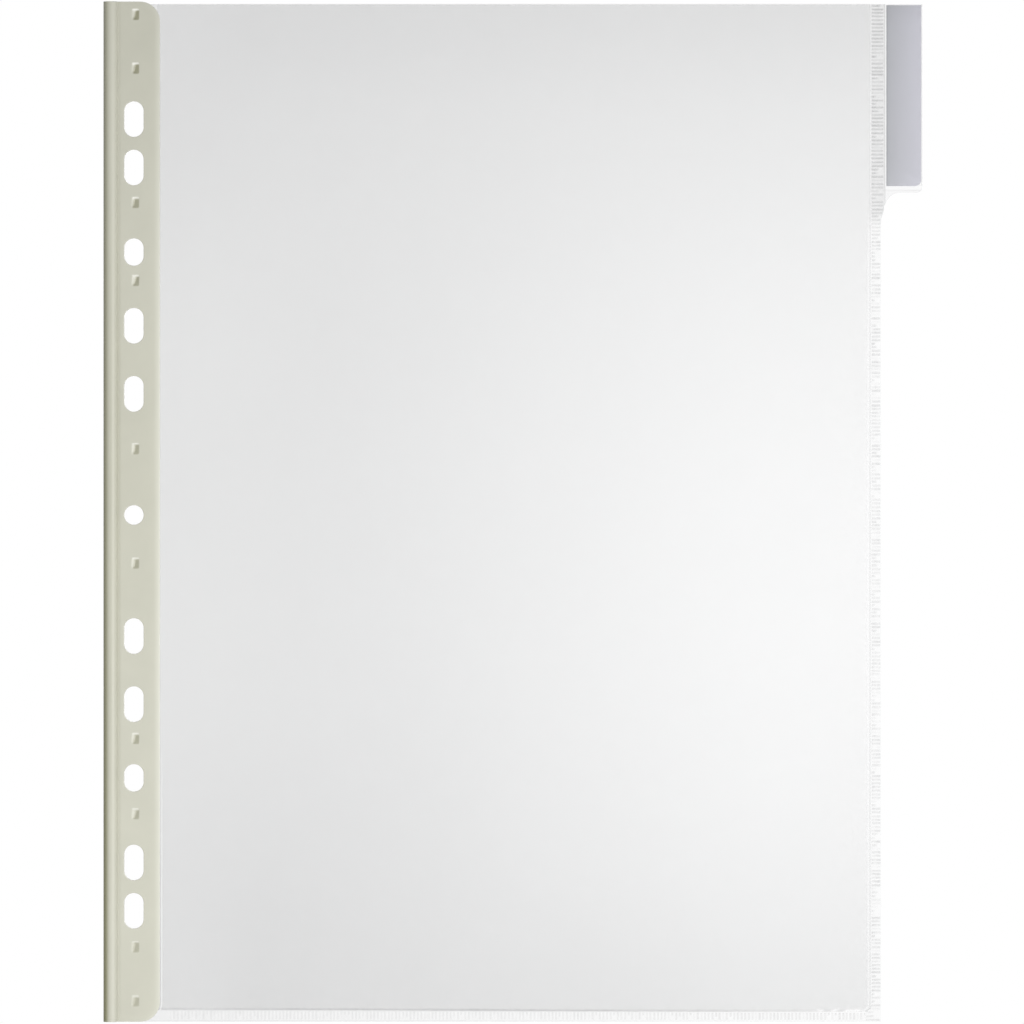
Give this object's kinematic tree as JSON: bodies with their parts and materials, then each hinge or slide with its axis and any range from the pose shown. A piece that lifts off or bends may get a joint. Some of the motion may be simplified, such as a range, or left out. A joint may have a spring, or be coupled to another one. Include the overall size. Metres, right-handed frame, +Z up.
{
  "type": "clear document display panel",
  "caption": "Clear film display pocket with welded seams, a folded and punched plastic binding strip with a round bead, and a clear index tab that holds a label card.",
  "frame": {"origin": "centre of the round middle hole of the binding strip, half way through the panel's thickness", "axes": "+Z up along the binding strip, +X from the strip across the pocket to the index tab, -Y out of the front face"},
  "size_m": [0.2489, 0.0036, 0.31],
  "materials": {
    "strip": "satin grey-beige polypropylene with a faint green cast",
    "film": "clear polypropylene film with a fine matt grain",
    "tab_film": "smooth clear film",
    "label": "plain pale lilac-grey card"
  },
  "bodies": {
    "spine": {"binding_strip": "strip", "front_film_margin": "film", "rear_film_margin": "film", "spot_weld_01": "strip", "spot_weld_02": "strip", "spot_weld_03": "strip", "spot_weld_04": "strip", "spot_weld_05": "strip", "spot_weld_06": "strip", "spot_weld_07": "strip", "spot_weld_08": "strip", "spot_weld_09": "strip", "spot_weld_10": "strip"},
    "pocket": {"front_film": "film", "rear_film": "film", "tab_sleeve": "tab_film"},
    "label": {"label_card": "label"}
  },
  "joints": [
    {"name": "pocket_swing", "type": "hinge", "parent": "spine", "child": "pocket", "pos_m": [0.0091, 0, 0], "axis": [0, 0, 1], "range_deg": [-90, 90], "stiffness_Nm_per_rad": 0.045},
    {"name": "label_slide", "type": "slide", "parent": "pocket", "child": "label", "axis": [0, 0, 1], "range_m": [0, 0.055]}
  ]
}
